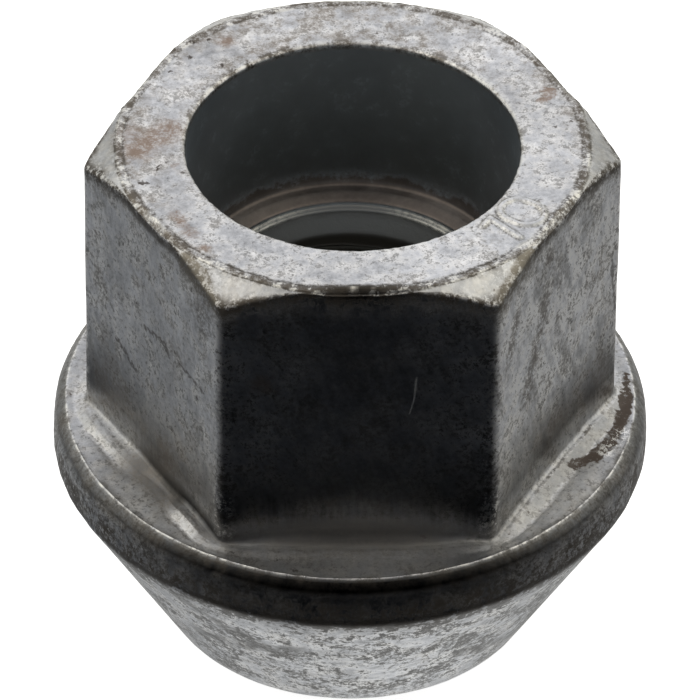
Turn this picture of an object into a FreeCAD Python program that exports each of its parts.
import FreeCAD, Part

import math
import os

import Sketcher

# One cold-forged wheel nut, standing on the small end of its 60 degree seat.
# Millimetres, +Z is the nut's axis, the origin is the centre of the end face
# that the nut stands on, and one flat of the hexagon faces -Y.

V = FreeCAD.Vector
doc = FreeCAD.newDocument("wheel_nut_model")

# ---------------------------------------------------------------- dimensions
SHEET = "nut_dims"
sheet = doc.addObject("Spreadsheet::Sheet", SHEET)
DIMS = [
    # outside
    ("across_flats", 19.0),        # spanner size
    ("overall_height", 23.0),
    ("hex_corner_radius", 0.6),    # rounding of the six upright corners
    ("face_circle_radius", 9.65),  # where the top chamfer meets the end face
    ("chamfer_angle", 33.5),       # chamfer below the end face, degrees
    ("collar_radius", 12.28),        # widest, at the top of the seat
    ("collar_top_z", 9.92),        # crest of the collar
    ("ledge_root_z", 10.07),       # the ledge climbs this high at the hexagon
    ("ledge_fillet", 0.7),         # hexagon into ledge
    ("crest_fillet", 0.45),        # ledge into collar band
    ("seat_top_z", 7.84),          # where the seat cone meets the band
    ("seat_half_angle", 30.0),     # 60 degree seat
    ("seat_edge_fillet", 0.35),    # band into seat
    ("end_edge_fillet", 0.25),     # seat into the end face
    # inside
    ("counterbore_radius", 6.78),
    ("counterbore_floor_z", 15.75),
    ("mouth_chamfer", 0.12),
    ("floor_step_radius", 5.75),   # inner rim of the counterbore's floor
    ("floor_step_z", 15.5),        # the floor dishes down to its rim
    ("lead_in_radius", 5.6),       # start of the thread's upper lead-in
    ("lead_in_z", 15.05),
    ("thread_minor_radius", 5.19), # M12 x 1.5, hole before the thread's form
    ("thread_top_z", 14.3),
    ("entry_radius", 6.25),        # stud's entry at the small end
    ("entry_depth", 1.06),
    # raised strength-class numerals on the end face
    ("numeral_relief", 0.12),
    ("numeral_circle_radius", 8.1),
    ("numeral_one_azimuth", -43.4),
    ("numeral_zero_azimuth", -33.9),
    ("numeral_height", 2.1),
    ("numeral_stroke", 0.3),
    ("zero_width", 1.72),
]
D = {}
for row, (alias, value) in enumerate(DIMS, start=1):
    sheet.set("A%d" % row, alias)
    sheet.set("B%d" % row, repr(float(value)))
    sheet.setAlias("B%d" % row, alias)
    D[alias] = float(value)
doc.recompute()


class Size:
    """A size kept twice: as the sheet's expression and as its number."""

    def __init__(self, text, number):
        self.text = text
        self.number = number

    def _pair(self, other, sign, number):
        text = other.text if isinstance(other, Size) else repr(float(other))
        return Size("(%s %s %s)" % (self.text, sign, text), number)

    def __add__(self, other):
        return self._pair(other, "+", self.number + num(other))

    def __sub__(self, other):
        return self._pair(other, "-", self.number - num(other))

    def __mul__(self, other):
        return self._pair(other, "*", self.number * num(other))

    def __truediv__(self, other):
        return self._pair(other, "/", self.number / num(other))

    def __neg__(self):
        return Size("(0 - %s)" % self.text, -self.number)


def num(x):
    return x.number if isinstance(x, Size) else float(x)


def dim(alias):
    return Size("%s.%s" % (SHEET, alias), D[alias])


def tan_of(angle):
    return Size("tan(%s * 1 deg)" % angle.text,
                math.tan(math.radians(angle.number)))


def cos_of(angle):
    return Size("cos(%s * 1 deg)" % angle.text,
                math.cos(math.radians(angle.number)))


def sin_of(angle):
    return Size("sin(%s * 1 deg)" % angle.text,
                math.sin(math.radians(angle.number)))


ZERO = Size("0", 0.0)
ROOT3 = Size("sqrt(3)", math.sqrt(3.0))
AF = dim("across_flats")
TOP = dim("overall_height")
COLLAR_R = dim("collar_radius")
COLLAR_Z = dim("collar_top_z")
ROOT_Z = dim("ledge_root_z")


# ---------------------------------------------------------------- the body
body = doc.addObject("PartDesign::Body", "wheel_nut")
body.Label = "wheel_nut"
body.Placement = FreeCAD.Placement(V(0, 0, 0), FreeCAD.Rotation())
doc.recompute()


def origin_plane(role):
    for feature in body.Origin.OriginFeatures:
        if feature.Role == role:
            return feature
    raise RuntimeError("no origin plane " + role)


def new_sketch(name, role):
    sk = body.newObject("Sketcher::SketchObject", name)
    sk.AttachmentSupport = [(origin_plane(role), "")]
    sk.MapMode = "FlatFace"
    return sk


def dimension(sk, kind, args, size, name):
    """A driving dimension bound to the sheet."""
    index = sk.addConstraint(Sketcher.Constraint(kind, *args, size.number))
    sk.renameConstraint(index, name)
    sk.setExpression("Constraints." + name, size.text)
    return index


def pin_vertex(sk, geo, pos, x, y, name):
    """Hold one vertex at (x, y) from the sketch's origin."""
    for axis, size, kind, line in (("x", x, "DistanceX", -2),
                                   ("y", y, "DistanceY", -1)):
        if abs(size.number) < 1e-9:
            sk.addConstraint(Sketcher.Constraint("PointOnObject", geo, pos, line))
        elif size.number > 0:
            dimension(sk, kind, (-1, 1, geo, pos), size, name + "_" + axis)
        else:
            dimension(sk, kind, (geo, pos, -1, 1), -size, name + "_" + axis)


def closed_profile(sk, corners, prefix):
    """A closed polygon whose every corner is driven by the sheet."""
    pts = [V(x.number, y.number, 0) for x, y in corners]
    first = None
    count = len(pts)
    for i in range(count):
        g = sk.addGeometry(Part.LineSegment(pts[i], pts[(i + 1) % count]), False)
        if first is None:
            first = g
    for i in range(count):
        sk.addConstraint(Sketcher.Constraint("Coincident", first + i, 2,
                                             first + (i + 1) % count, 1))
    for i, (x, y) in enumerate(corners):
        pin_vertex(sk, first + i, 1, x, y, "%s%d" % (prefix, i))
    return first


def check(feature):
    doc.recompute()
    if "Invalid" in feature.State or "Error" in feature.State:
        raise RuntimeError(feature.Name + " failed: " + str(feature.State))
    if feature.Shape.isNull() or not feature.Shape.isValid():
        raise RuntimeError(feature.Name + " has no valid shape")
    return feature.Shape.Volume


def edges_where(feature, test):
    return ["Edge%d" % i for i, e in enumerate(feature.Shape.Edges, start=1)
            if test(e)]


# ---------------------------------------------------------------- hexagon
hex_sketch = new_sketch("hexagon", "XY_Plane")
hex_base = COLLAR_Z - 0.8          # the prism starts inside the collar
hex_sketch.AttachmentOffset = FreeCAD.Placement(V(0, 0, hex_base.number),
                                                FreeCAD.Rotation())
hex_sketch.setExpression("AttachmentOffset.Base.z", hex_base.text)
big = AF / ROOT3
circle = hex_sketch.addGeometry(Part.Circle(V(0, 0, 0), V(0, 0, 1), big.number), True)
hex_sketch.addConstraint(Sketcher.Constraint("Coincident", circle, 3, -1, 1))
dimension(hex_sketch, "Radius", (circle,), big, "circumradius")
corner = [V(big.number * math.cos(math.radians(60 * k)),
            big.number * math.sin(math.radians(60 * k)), 0) for k in range(6)]
side = [hex_sketch.addGeometry(Part.LineSegment(corner[k], corner[(k + 1) % 6]), False)
        for k in range(6)]
for k in range(6):
    hex_sketch.addConstraint(Sketcher.Constraint("Coincident", side[k], 2,
                                                 side[(k + 1) % 6], 1))
for k in range(6):
    hex_sketch.addConstraint(Sketcher.Constraint("PointOnObject", side[k], 1, circle))
for k in range(1, 6):
    hex_sketch.addConstraint(Sketcher.Constraint("Equal", side[0], side[k]))
hex_sketch.addConstraint(Sketcher.Constraint("Horizontal", side[4]))
hexagon = body.newObject("PartDesign::Pad", "hexagon_pad")
hexagon.Profile = hex_sketch
hex_length = TOP - hex_base
hexagon.Length = hex_length.number
hexagon.setExpression("Length", hex_length.text)
vol_hex = check(hexagon)


def upright(e):
    a, b = e.Vertexes[0], e.Vertexes[-1]
    return (math.hypot(a.X - b.X, a.Y - b.Y) < 1e-6 and abs(a.Z - b.Z) > 5.0)


corner_edges = edges_where(hexagon, upright)
if len(corner_edges) != 6:
    raise RuntimeError("expected six upright corners, found %d" % len(corner_edges))
corners = body.newObject("PartDesign::Fillet", "corner_rounding")
corners.Base = (hexagon, corner_edges)
corners.Radius = D["hex_corner_radius"]
corners.setExpression("Radius", dim("hex_corner_radius").text)
vol_corner = check(corners)
if vol_corner >= vol_hex:
    raise RuntimeError("the corners were not rounded")

# ------------------------------------------------ collar and seat, turned form
END_R = COLLAR_R - dim("seat_top_z") * tan_of(dim("seat_half_angle"))
blank_sketch = new_sketch("collar_profile", "XZ_Plane")
closed_profile(blank_sketch, [
    (ZERO, ZERO),
    (END_R, ZERO),
    (COLLAR_R, dim("seat_top_z")),
    (COLLAR_R - 0.12, COLLAR_Z),
    (AF / 2 - 1.5, ROOT_Z),
    (ZERO, ROOT_Z),
], "p")
blank = body.newObject("PartDesign::Revolution", "collar_and_seat")
blank.Profile = blank_sketch
blank.ReferenceAxis = (blank_sketch, ["V_Axis"])
blank.Angle = 360.0
vol_blank = check(blank)
if vol_blank <= vol_corner:
    raise RuntimeError("the collar added nothing")

# ------------------------------------------------ fillet round the hexagon's foot
foot_edges = edges_where(
    blank,
    lambda e: e.BoundBox.ZMin > D["collar_top_z"] + 0.005
    and e.BoundBox.ZMax < D["ledge_root_z"] + 0.01
    and math.hypot(e.Vertexes[0].X, e.Vertexes[0].Y) > AF.number / 2 - 0.1)
print("foot edges", len(foot_edges))
foot = body.newObject("PartDesign::Fillet", "foot_fillet")
foot.Base = (blank, foot_edges)
foot.Radius = D["ledge_fillet"]
foot.setExpression("Radius", dim("ledge_fillet").text)
vol_foot = check(foot)
if vol_foot <= vol_blank:
    raise RuntimeError("the foot fillet added nothing")

# ------------------------------------------------ rounded crest and seat edges


def ring_edges(feature, z, tol, r_low, r_high):
    def test(e):
        if not isinstance(e.Curve, Part.Circle):
            return False
        b = e.BoundBox
        r = e.Curve.Radius
        return abs(b.ZMin - z) < tol and abs(b.ZMax - z) < tol and r_low < r < r_high
    return edges_where(feature, test)


def ring_fillet(name, base, z, r_low, r_high, alias):
    names = ring_edges(base, z, 0.02, r_low, r_high)
    if not names:
        raise RuntimeError("no edge for " + name)
    f = body.newObject("PartDesign::Fillet", name)
    f.Base = (base, names)
    f.Radius = D[alias]
    f.setExpression("Radius", dim(alias).text)
    check(f)
    return f


crest = ring_fillet("crest_rounding", foot, D["collar_top_z"],
                    D["collar_radius"] - 0.3, D["collar_radius"] + 0.1, "crest_fillet")
seat_edge = ring_fillet("seat_edge_rounding", crest, D["seat_top_z"],
                        D["collar_radius"] - 0.1, D["collar_radius"] + 0.1,
                        "seat_edge_fillet")
end_r = END_R.number
end_edge = ring_fillet("end_rounding", seat_edge, 0.0, end_r - 0.1, end_r + 0.1,
                       "end_edge_fillet")
vol_round = end_edge.Shape.Volume

# ------------------------------------------------ chamfer of the hexagon's top
OUT_R = AF / ROOT3 + 0.6
FACE_R = dim("face_circle_radius")
chamfer_sketch = new_sketch("chamfer_profile", "XZ_Plane")
closed_profile(chamfer_sketch, [
    (FACE_R, TOP),
    (OUT_R, TOP - (OUT_R - FACE_R) * tan_of(dim("chamfer_angle"))),
    (OUT_R, TOP + 1),
    (FACE_R, TOP + 1),
], "c")
chamfer = body.newObject("PartDesign::Groove", "top_chamfer")
chamfer.Profile = chamfer_sketch
chamfer.ReferenceAxis = (chamfer_sketch, ["V_Axis"])
chamfer.Angle = 360.0
vol_chamfer = check(chamfer)
if vol_chamfer >= vol_round:
    raise RuntimeError("the chamfer cut nothing")

# ------------------------------------------------ bore: counterbore, step,
# thread lead-in, thread's hole and the stud's entry
bore_sketch = new_sketch("bore_profile", "XZ_Plane")
BORE_R = dim("counterbore_radius")
FLOOR_Z = dim("counterbore_floor_z")
MOUTH = dim("mouth_chamfer")
ENTRY_R = dim("entry_radius")
THREAD_R = dim("thread_minor_radius")
closed_profile(bore_sketch, [
    (ZERO, -(ZERO + 1)),
    (ENTRY_R + 1, -(ZERO + 1)),
    (ENTRY_R, ZERO),
    (THREAD_R, dim("entry_depth")),
    (THREAD_R, dim("thread_top_z")),
    (dim("lead_in_radius"), dim("lead_in_z")),
    (dim("floor_step_radius"), dim("floor_step_z")),
    (BORE_R - 0.45, FLOOR_Z - 0.08),
    (BORE_R, FLOOR_Z + 0.2),
    (BORE_R, TOP - MOUTH),
    (BORE_R + MOUTH, TOP),
    (BORE_R + MOUTH, TOP + 1),
    (ZERO, TOP + 1),
], "b")
bore = body.newObject("PartDesign::Groove", "stepped_bore")
bore.Profile = bore_sketch
bore.ReferenceAxis = (bore_sketch, ["V_Axis"])
bore.Angle = 360.0
vol_bore = check(bore)
if vol_bore >= vol_chamfer:
    raise RuntimeError("the bore cut nothing")

# ------------------------------------------------ raised numerals, read from
# outside the nut with their heads towards the bore


def numeral_sketch(name, azimuth):
    sk = new_sketch(name, "XY_Plane")
    x = dim("numeral_circle_radius") * cos_of(azimuth)
    y = dim("numeral_circle_radius") * sin_of(azimuth)
    z = TOP - 0.02
    sk.AttachmentOffset = FreeCAD.Placement(
        V(x.number, y.number, z.number),
        FreeCAD.Rotation(V(0, 0, 1), azimuth.number + 90.0))
    sk.setExpression("AttachmentOffset.Base.x", x.text)
    sk.setExpression("AttachmentOffset.Base.y", y.text)
    sk.setExpression("AttachmentOffset.Base.z", z.text)
    return sk


def numeral_pad(name, sk):
    pad = body.newObject("PartDesign::Pad", name)
    pad.Profile = sk
    thick = dim("numeral_relief") + 0.02
    pad.Length = thick.number
    pad.setExpression("Length", thick.text)
    return pad


HALF_H = dim("numeral_height") / 2
STROKE = dim("numeral_stroke")
one_sketch = numeral_sketch("numeral_one", dim("numeral_one_azimuth"))
closed_profile(one_sketch, [
    (-(STROKE / 2), -HALF_H),
    (STROKE / 2, -HALF_H),
    (STROKE / 2, HALF_H),
    (-(STROKE / 2), HALF_H),
    (-(STROKE / 2 + 0.45), HALF_H - 0.4),
    (-(STROKE / 2 + 0.25), HALF_H - 0.62),
    (-(STROKE / 2), HALF_H - 0.4),
], "n")
one = numeral_pad("numeral_one_pad", one_sketch)
vol_one = check(one)


def stadium(sk, half_width, half_length, prefix):
    """A ring line of two half circles and two straights, upright."""
    rise = half_length - half_width
    rr, cc = half_width.number, rise.number
    top = sk.addGeometry(Part.ArcOfCircle(Part.Circle(V(0, cc, 0), V(0, 0, 1), rr),
                                          0.0, math.pi), False)
    left = sk.addGeometry(Part.LineSegment(V(-rr, cc, 0), V(-rr, -cc, 0)), False)
    low = sk.addGeometry(Part.ArcOfCircle(Part.Circle(V(0, -cc, 0), V(0, 0, 1), rr),
                                          math.pi, 2 * math.pi), False)
    right = sk.addGeometry(Part.LineSegment(V(rr, -cc, 0), V(rr, cc, 0)), False)
    con = Sketcher.Constraint
    sk.addConstraint(con("Tangent", top, 2, left, 1))
    sk.addConstraint(con("Tangent", left, 2, low, 1))
    sk.addConstraint(con("Tangent", low, 2, right, 1))
    sk.addConstraint(con("Tangent", right, 2, top, 1))
    sk.addConstraint(con("PointOnObject", top, 3, -2))
    sk.addConstraint(con("PointOnObject", low, 3, -2))
    dimension(sk, "Radius", (top,), half_width, prefix + "_radius")
    dimension(sk, "DistanceY", (-1, 1, top, 3), rise, prefix + "_up")
    dimension(sk, "DistanceY", (low, 3, -1, 1), rise, prefix + "_down")


zero_sketch = numeral_sketch("numeral_zero", dim("numeral_zero_azimuth"))
HALF_W = dim("zero_width") / 2
stadium(zero_sketch, HALF_W, HALF_H, "outer")
stadium(zero_sketch, HALF_W - STROKE, HALF_H - STROKE, "inner")
zero = numeral_pad("numeral_zero_pad", zero_sketch)
vol_zero = check(zero)
if not (vol_zero > vol_one > vol_bore):
    raise RuntimeError("a numeral added nothing")

body.Tip = zero
doc.recompute()

# ---------------------------------------------------------------- final checks
for obj in doc.Objects:
    if "Invalid" in obj.State or "Error" in obj.State:
        raise RuntimeError("%s: %s" % (obj.Name, obj.State))
    if obj.TypeId == "Sketcher::SketchObject":
        obj.solve()
        if obj.ConflictingConstraints or obj.RedundantConstraints:
            raise RuntimeError("%s has a faulty constraint" % obj.Name)
shape = body.Shape
if shape.isNull() or not shape.isValid() or len(shape.Solids) != 1:
    raise RuntimeError("the nut is not one valid solid")

os.makedirs("parts", exist_ok=True)
for sub in (body,):
    sub.Shape.exportStep("parts/%s.step" % sub.Label)
    box = sub.Shape.BoundBox
    print("%s: %.2f x %.2f x %.2f mm, volume %.1f mm3"
          % (sub.Label, box.XLength, box.YLength, box.ZLength, sub.Shape.Volume))
